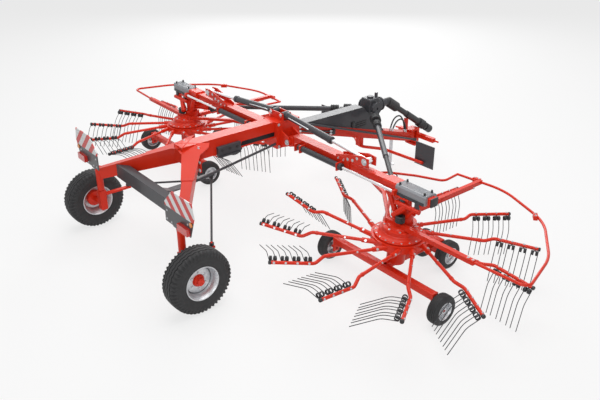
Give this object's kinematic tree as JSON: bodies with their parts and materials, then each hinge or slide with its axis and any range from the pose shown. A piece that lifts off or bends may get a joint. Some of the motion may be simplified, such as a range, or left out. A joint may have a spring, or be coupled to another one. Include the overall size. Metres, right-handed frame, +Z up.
{
  "type": "twin rotor hay rake",
  "caption": "Towed twin rotor hay rake with folding lift arms, tined rotors on small wheels, a steered rear axle and a hitch headstock.",
  "frame": {"origin": "on the ground, at the middle of the whole machine's outline", "axes": "+X to the machine's right, +Y forward towards the hitch, +Z up"},
  "size_m": [8.4842, 5.9901, 1.582],
  "materials": {
    "red_paint": "gloss",
    "dark_paint": "satin",
    "zinc": "satin",
    "tyre": "matte",
    "tine_steel": "satin",
    "chrome": "polished",
    "black_plastic": "satin",
    "board": "gloss",
    "lamp": "gloss"
  },
  "bodies": {
    "chassis": {"rear_beam": "red_paint", "hinge_frame": "red_paint", "drawbar": "red_paint", "fork_legs": "red_paint", "rear_crossbar": "dark_paint", "gearbox_cover": "dark_paint", "central_gearbox": "dark_paint", "pto_shaft": "black_plastic", "rear_boards": "board", "tail_lamps": "lamp", "front_board_tube": "red_paint", "front_boards": "dark_paint"},
    "headstock": {"headstock": "red_paint"},
    "stand": {"parking_stand": "zinc"},
    "relay": {"relay_lever": "dark_paint"},
    "right_tie": {"right_tie_rod": "dark_paint"},
    "left_tie": {"left_tie_rod": "dark_paint"},
    "rear_rod": {"rear_steering_rod": "dark_paint"},
    "front_rod": {"front_steering_rod": "dark_paint"},
    "right_lift_arm": {"right_lift_arm": "red_paint", "right_width_barrel": "dark_paint"},
    "right_lift_barrel": {"right_lift_barrel": "dark_paint"},
    "right_lift_rod": {"right_lift_rod": "chrome"},
    "right_rotor_carrier": {"right_slide_arm": "red_paint", "right_width_rod": "chrome", "right_rotor_frame": "red_paint", "right_guard": "red_paint"},
    "right_shaft_yoke": {"right_shaft_yoke": "black_plastic"},
    "right_shaft_tube": {"right_shaft_tube": "dark_paint"},
    "right_shaft_inner": {"right_shaft_inner": "black_plastic"},
    "right_rotor": {"right_rotor_hub": "red_paint", "right_tine_arms": "red_paint", "right_tines": "tine_steel"},
    "right_inner_wheel": {"right_inner_wheel": "tyre"},
    "right_outer_wheel": {"right_outer_wheel": "tyre"},
    "right_front_wheels": {"right_front_wheels": "tyre"},
    "right_knuckle": {"right_knuckle": "red_paint"},
    "right_rear_wheel": {"right_rear_tyre": "tyre", "right_rear_rim": "zinc"},
    "left_lift_arm": {"left_lift_arm": "red_paint", "left_width_barrel": "dark_paint"},
    "left_lift_barrel": {"left_lift_barrel": "dark_paint"},
    "left_lift_rod": {"left_lift_rod": "chrome"},
    "left_rotor_carrier": {"left_slide_arm": "red_paint", "left_width_rod": "chrome", "left_rotor_frame": "red_paint", "left_guard": "red_paint"},
    "left_shaft_yoke": {"left_shaft_yoke": "black_plastic"},
    "left_shaft_tube": {"left_shaft_tube": "dark_paint"},
    "left_shaft_inner": {"left_shaft_inner": "black_plastic"},
    "left_rotor": {"left_rotor_hub": "red_paint", "left_tine_arms": "red_paint", "left_tines": "tine_steel"},
    "left_inner_wheel": {"left_inner_wheel": "tyre"},
    "left_outer_wheel": {"left_outer_wheel": "tyre"},
    "left_front_wheels": {"left_front_wheels": "tyre"},
    "left_knuckle": {"left_knuckle": "red_paint"},
    "left_rear_wheel": {"left_rear_tyre": "tyre", "left_rear_rim": "zinc"}
  },
  "joints": [
    {"name": "headstock_turn", "type": "hinge", "parent": "chassis", "child": "headstock", "pos_m": [0, 2.48, 0.49], "axis": [0, 0, 1], "range_deg": [-45, 45]},
    {"name": "relay_turn", "type": "hinge", "parent": "chassis", "child": "relay", "pos_m": [0, -1.874, 0.915], "axis": [0, 0, 1], "range_deg": [-15.5, 15.5]},
    {"name": "right_rear_steer", "type": "hinge", "parent": "chassis", "child": "right_knuckle", "pos_m": [1.08, -2.587, 0.408], "axis": [0, 0, 1], "range_deg": [-15.5, 15.5]},
    {"name": "right_tie_swing", "type": "hinge", "parent": "relay", "child": "right_tie", "pos_m": [0, -1.474, 0.915], "axis": [0, 0, 1], "range_deg": [-15.5, 15.5]},
    {"name": "left_rear_steer", "type": "hinge", "parent": "chassis", "child": "left_knuckle", "pos_m": [-1.08, -2.587, 0.408], "axis": [0, 0, 1], "range_deg": [-15.5, 15.5]},
    {"name": "left_tie_swing", "type": "hinge", "parent": "relay", "child": "left_tie", "pos_m": [0, -1.474, 0.915], "axis": [0, 0, 1], "range_deg": [-15.5, 15.5]},
    {"name": "front_rod_slide", "type": "slide", "parent": "chassis", "child": "front_rod", "axis": [0.0144, 0.9428, -0.3332], "range_m": [-0.11881, 0.11881]},
    {"name": "rear_rod_slide", "type": "slide", "parent": "chassis", "child": "rear_rod", "axis": [-0.0212, 0.9917, 0.1264], "range_m": [-0.04027, 0.04027]},
    {"name": "stand_swing", "type": "hinge", "parent": "chassis", "child": "stand", "pos_m": [-0.165, 2.2, 0.59], "axis": [-1, 0, 0], "range_deg": [0, 85]},
    {"name": "right_fold", "type": "hinge", "parent": "chassis", "child": "right_lift_arm", "pos_m": [0.31, -0.284, 1.215], "axis": [0, -1, 0], "range_deg": [0, 90]},
    {"name": "right_width", "type": "slide", "parent": "right_lift_arm", "child": "right_rotor_carrier", "axis": [-1, 0, 0], "range_m": [0, 0.45]},
    {"name": "right_lift_barrel_swing", "type": "hinge", "parent": "chassis", "child": "right_lift_barrel", "pos_m": [0.11, -0.284, 1.54], "axis": [0, -1, 0], "range_deg": [-1, 94.98]},
    {"name": "right_lift_rod_slide", "type": "slide", "parent": "right_lift_barrel", "child": "right_lift_rod", "axis": [-0.9962, 0, 0.087], "range_m": [-0.005, 0.53614]},
    {"name": "right_shaft_lift", "type": "hinge", "parent": "chassis", "child": "right_shaft_yoke", "pos_m": [0.24, 1.361, 1.159], "axis": [0, -1, 0], "range_deg": [-1, 87.07]},
    {"name": "right_shaft_swing", "type": "hinge", "parent": "right_shaft_yoke", "child": "right_shaft_tube", "pos_m": [0.3889, 1.24351, 1.14778], "axis": [0, 0, -1], "range_deg": [-1, 9.77]},
    {"name": "right_shaft_slide", "type": "slide", "parent": "right_shaft_tube", "child": "right_shaft_inner", "axis": [-0.7837, 0.6184, 0.0591], "range_m": [-0.005, 0.3362]},
    {"name": "right_rotor_turn", "type": "hinge", "parent": "right_rotor_carrier", "child": "right_rotor", "pos_m": [2.438, -0.387, 0.65], "axis": [0.0488, 0.0175, 0.9987], "continuous": true},
    {"name": "right_inner_wheel_roll", "type": "hinge", "parent": "right_rotor_carrier", "child": "right_inner_wheel", "pos_m": [1.474, -0.614, 0.19], "axis": [1, 0, 0], "continuous": true},
    {"name": "right_outer_wheel_roll", "type": "hinge", "parent": "right_rotor_carrier", "child": "right_outer_wheel", "pos_m": [3.354, -0.614, 0.19], "axis": [1, 0, 0], "continuous": true},
    {"name": "right_front_wheels_roll", "type": "hinge", "parent": "right_rotor_carrier", "child": "right_front_wheels", "pos_m": [2.414, 0.376, 0.19], "axis": [1, 0, 0], "continuous": true},
    {"name": "right_rear_wheel_roll", "type": "hinge", "parent": "right_knuckle", "child": "right_rear_wheel", "pos_m": [1.372, -2.587, 0.408], "axis": [1, 0, 0], "continuous": true},
    {"name": "left_fold", "type": "hinge", "parent": "chassis", "child": "left_lift_arm", "pos_m": [-0.31, -0.284, 1.215], "axis": [0, 1, 0], "range_deg": [0, 90]},
    {"name": "left_width", "type": "slide", "parent": "left_lift_arm", "child": "left_rotor_carrier", "axis": [1, 0, 0], "range_m": [0, 0.45]},
    {"name": "left_lift_barrel_swing", "type": "hinge", "parent": "chassis", "child": "left_lift_barrel", "pos_m": [-0.11, -0.284, 1.54], "axis": [0, 1, 0], "range_deg": [-1, 94.98]},
    {"name": "left_lift_rod_slide", "type": "slide", "parent": "left_lift_barrel", "child": "left_lift_rod", "axis": [0.9962, 0, 0.087], "range_m": [-0.005, 0.53614]},
    {"name": "left_shaft_lift", "type": "hinge", "parent": "chassis", "child": "left_shaft_yoke", "pos_m": [-0.24, 1.361, 1.159], "axis": [0, 1, 0], "range_deg": [-1, 87.07]},
    {"name": "left_shaft_swing", "type": "hinge", "parent": "left_shaft_yoke", "child": "left_shaft_tube", "pos_m": [-0.3889, 1.24351, 1.14778], "axis": [0, 0, 1], "range_deg": [-1, 9.77]},
    {"name": "left_shaft_slide", "type": "slide", "parent": "left_shaft_tube", "child": "left_shaft_inner", "axis": [0.7837, 0.6184, 0.0591], "range_m": [-0.005, 0.3362]},
    {"name": "left_rotor_turn", "type": "hinge", "parent": "left_rotor_carrier", "child": "left_rotor", "pos_m": [-2.438, -0.387, 0.65], "axis": [0.0488, -0.0175, -0.9987], "continuous": true},
    {"name": "left_inner_wheel_roll", "type": "hinge", "parent": "left_rotor_carrier", "child": "left_inner_wheel", "pos_m": [-1.474, -0.614, 0.19], "axis": [1, 0, 0], "continuous": true},
    {"name": "left_outer_wheel_roll", "type": "hinge", "parent": "left_rotor_carrier", "child": "left_outer_wheel", "pos_m": [-3.354, -0.614, 0.19], "axis": [1, 0, 0], "continuous": true},
    {"name": "left_front_wheels_roll", "type": "hinge", "parent": "left_rotor_carrier", "child": "left_front_wheels", "pos_m": [-2.414, 0.376, 0.19], "axis": [1, 0, 0], "continuous": true},
    {"name": "left_rear_wheel_roll", "type": "hinge", "parent": "left_knuckle", "child": "left_rear_wheel", "pos_m": [-1.372, -2.587, 0.408], "axis": [1, 0, 0], "continuous": true}
  ],
  "couplings": [
    {"joint": "relay_turn", "follows": "headstock_turn", "ratio": -0.33333},
    {"joint": "right_rear_steer", "follows": "headstock_turn", "ratio": -0.33333},
    {"joint": "right_tie_swing", "follows": "headstock_turn", "ratio": 0.33333},
    {"joint": "left_rear_steer", "follows": "headstock_turn", "ratio": -0.33333},
    {"joint": "left_tie_swing", "follows": "headstock_turn", "ratio": 0.33333},
    {"joint": "front_rod_slide", "follows": "headstock_turn", "m_per_rad": 0.15},
    {"joint": "rear_rod_slide", "follows": "headstock_turn", "m_per_rad": -0.05},
    {"joint": "right_lift_barrel_swing", "follows": "right_fold", "ratio": 1.0443},
    {"joint": "right_lift_rod_slide", "follows": "right_fold", "m_per_rad": 0.33814},
    {"joint": "right_shaft_lift", "follows": "right_fold", "ratio": 0.95635},
    {"joint": "right_shaft_swing", "follows": "right_width", "rad_per_m": 0.34031},
    {"joint": "right_shaft_slide", "follows": "right_width", "ratio": 0.736},
    {"joint": "left_lift_barrel_swing", "follows": "left_fold", "ratio": 1.0443},
    {"joint": "left_lift_rod_slide", "follows": "left_fold", "m_per_rad": 0.33814},
    {"joint": "left_shaft_lift", "follows": "left_fold", "ratio": 0.95635},
    {"joint": "left_shaft_swing", "follows": "left_width", "rad_per_m": 0.34031},
    {"joint": "left_shaft_slide", "follows": "left_width", "ratio": 0.736},
    {"joint": "left_rotor_turn", "follows": "right_rotor_turn", "ratio": 1}
  ]
}
